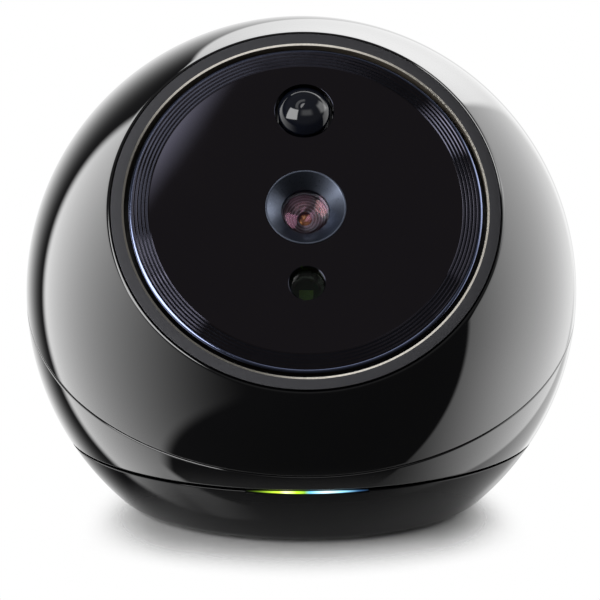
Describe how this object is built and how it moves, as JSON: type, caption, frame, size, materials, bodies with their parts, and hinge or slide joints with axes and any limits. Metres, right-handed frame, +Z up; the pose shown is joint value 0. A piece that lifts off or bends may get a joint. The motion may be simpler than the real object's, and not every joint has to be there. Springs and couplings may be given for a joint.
{
  "type": "security camera",
  "caption": "Ball-shaped table security camera: a glossy black ball with a flat round face. It pans on its base, and its head turns about a slanted axis to aim the lens.",
  "frame": {"origin": "on the table, under the ball's centre, at the middle of the rubber foot's underside", "axes": "+Z up; at rest the face looks to -Y and upwards, and the power socket is at +Y; +X is to the right when the face is looked at"},
  "size_m": [0.112, 0.1115, 0.099],
  "materials": {
    "gloss_black_plastic": "polished",
    "black_plastic": "fine texture",
    "natural_nylon": "moulded",
    "steel": "plain",
    "brass": "turned",
    "black_rubber": "matt",
    "anodised_grey": "satin anodised",
    "anodised_blue_grey": "satin anodised",
    "circuit_board": "solder mask",
    "clear_acrylic": "polished",
    "coated_glass": "coated"
  },
  "bodies": {
    "base": {"base_shell": "gloss_black_plastic", "base_plate": "black_plastic", "rubber_foot": "black_rubber", "tripod_insert": "brass", "base_screws": "steel", "base_board": "circuit_board", "power_socket": "steel", "reset_switch": "black_plastic", "pan_post": "natural_nylon", "pan_clip": "steel", "pan_ring_gear": "natural_nylon", "light_guide": "clear_acrylic", "light_board": "circuit_board", "status_leds": "clear_acrylic"},
    "lower": {"lower_shell": "gloss_black_plastic", "speaker": "black_plastic", "turntable": "black_plastic", "turntable_screws": "steel", "pan_bush": "natural_nylon", "pan_motor": "steel", "turn_deck": "black_plastic", "deck_screws": "steel", "turn_bush": "natural_nylon", "turn_motor": "steel", "motor_screws": "steel"},
    "pan_drive": {"pan_pinion": "natural_nylon", "pan_shaft": "steel"},
    "turn_drive": {"turn_pinion": "natural_nylon", "turn_shaft": "steel"},
    "button": {"reset_button": "black_plastic"},
    "head": {"upper_shell": "gloss_black_plastic", "head_deck": "black_plastic", "head_screws": "steel", "turn_hub": "natural_nylon", "turn_clip": "steel", "turn_ring_gear": "natural_nylon", "face_frame": "black_plastic", "frame_screws": "steel", "face_ring": "anodised_grey", "front_window": "gloss_black_plastic", "lens_cone": "anodised_blue_grey", "lens_barrel": "anodised_blue_grey", "lens_front_glass": "coated_glass", "lens_spacer": "black_plastic", "lens_rear_glass": "coated_glass", "lens_holder": "black_plastic", "infrared_filter": "coated_glass", "image_sensor": "black_plastic", "image_board": "circuit_board", "board_standoffs": "brass", "main_board": "circuit_board", "image_board_screws": "steel", "main_board_screws": "steel", "shield_can": "steel", "front_board": "circuit_board", "pir_sensor": "steel", "pir_dome": "gloss_black_plastic", "light_sensor": "black_plastic", "light_window": "coated_glass", "microphone": "steel"}
  },
  "joints": [
    {"name": "pan", "type": "hinge", "parent": "base", "child": "lower", "pos_m": [0, 0, 0.0138], "axis": [0, 0, 1], "range_deg": [-175, 175]},
    {"name": "head_turn", "type": "hinge", "parent": "lower", "child": "head", "pos_m": [0, 0, 0.043], "axis": [0, -0.4617, 0.887], "range_deg": [-175, 175]},
    {"name": "pan_pinion_spin", "type": "hinge", "parent": "lower", "child": "pan_drive", "pos_m": [0.02079, 0.012, 0.012], "axis": [0, 0, 1], "range_deg": [-900, 900]},
    {"name": "turn_pinion_spin", "type": "hinge", "parent": "lower", "child": "turn_drive", "pos_m": [0, 0.02129, 0.05408], "axis": [0, -0.4617, 0.887], "range_deg": [-900, 900]},
    {"name": "reset_press", "type": "slide", "parent": "base", "child": "button", "axis": [0, 0, 1], "range_m": [0, 0.00045], "stiffness_N_per_m": 2000}
  ],
  "couplings": [
    {"joint": "pan_pinion_spin", "follows": "pan", "ratio": -5},
    {"joint": "turn_pinion_spin", "follows": "head_turn", "ratio": 5}
  ]
}
